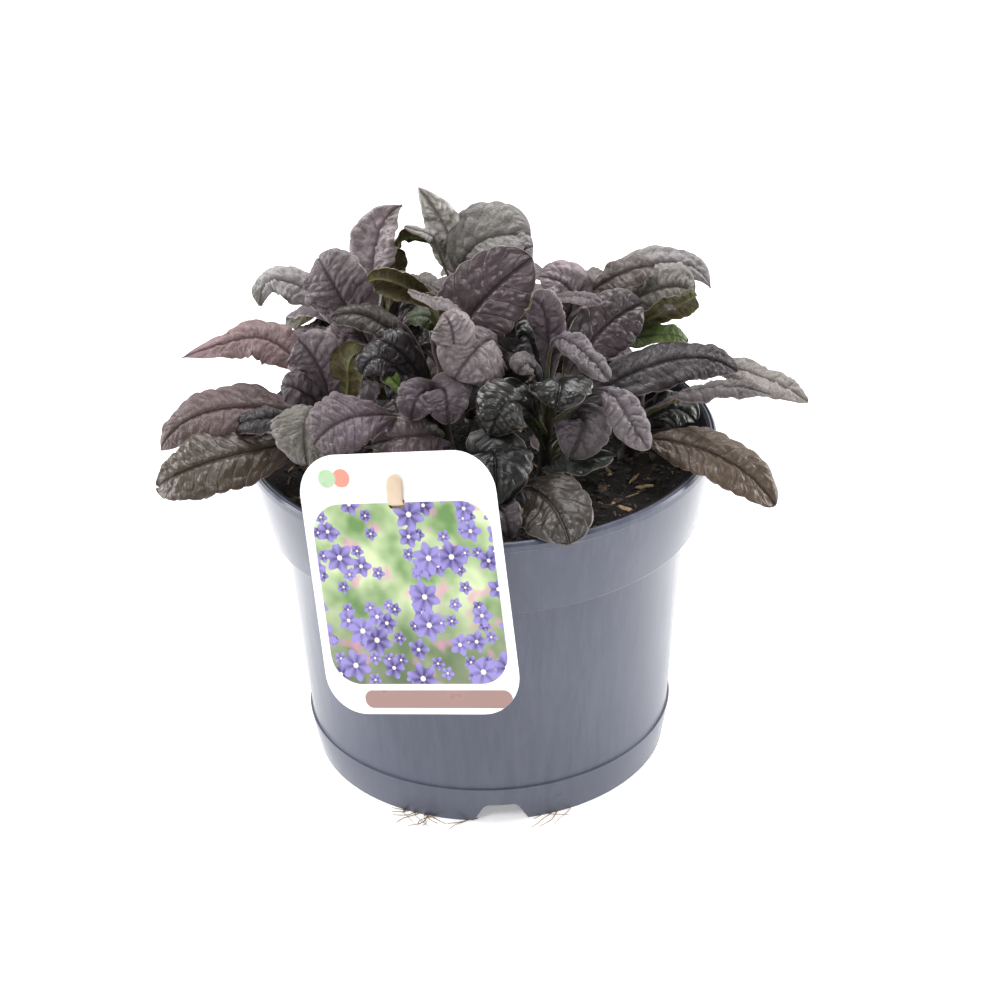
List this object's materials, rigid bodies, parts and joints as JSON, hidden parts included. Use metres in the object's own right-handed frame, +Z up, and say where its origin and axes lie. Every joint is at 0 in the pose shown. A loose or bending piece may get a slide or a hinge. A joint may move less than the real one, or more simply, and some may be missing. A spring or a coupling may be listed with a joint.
{
  "type": "potted black scallop bugleweed",
  "caption": "Bushy ground-cover perennial with dark scalloped spoon-shaped leaves, growing in a round nursery pot of soil, with a plant label on a stake.",
  "frame": {"origin": "middle of the object's bounding box in plan, on the surface that the pot's foot ring stands on; it is the middle of the pot's foot", "axes": "+Z up along the pot's axis, -Y towards the front of the pot, where the plant label hangs, +X to the right seen from the front"},
  "size_m": [0.259, 0.2402, 0.2333],
  "materials": {
    "pot_plastic": "slate grey moulded plastic with a low sheen and soft scuffs",
    "potting_soil": "dark moist peat with bark chips",
    "foliage": "thick puckered leaves, purple black above with a waxy gloss, olive to green below",
    "label_card": "printed plastic card with a smooth gloss",
    "stake_plastic": "beige moulded plastic"
  },
  "bodies": {
    "root": {"pot": "pot_plastic", "soil": "potting_soil", "crown_left": "foliage", "crown_left_back": "foliage", "crown_back": "foliage", "crown_middle": "foliage", "crown_right_back": "foliage", "crown_right": "foliage", "crown_right_front": "foliage", "crown_front": "foliage", "crown_rear_left": "foliage", "crown_rear": "foliage", "crown_rear_right": "foliage", "plant_label": "label_card", "label_stake": "stake_plastic"}
  },
  "joints": []
}
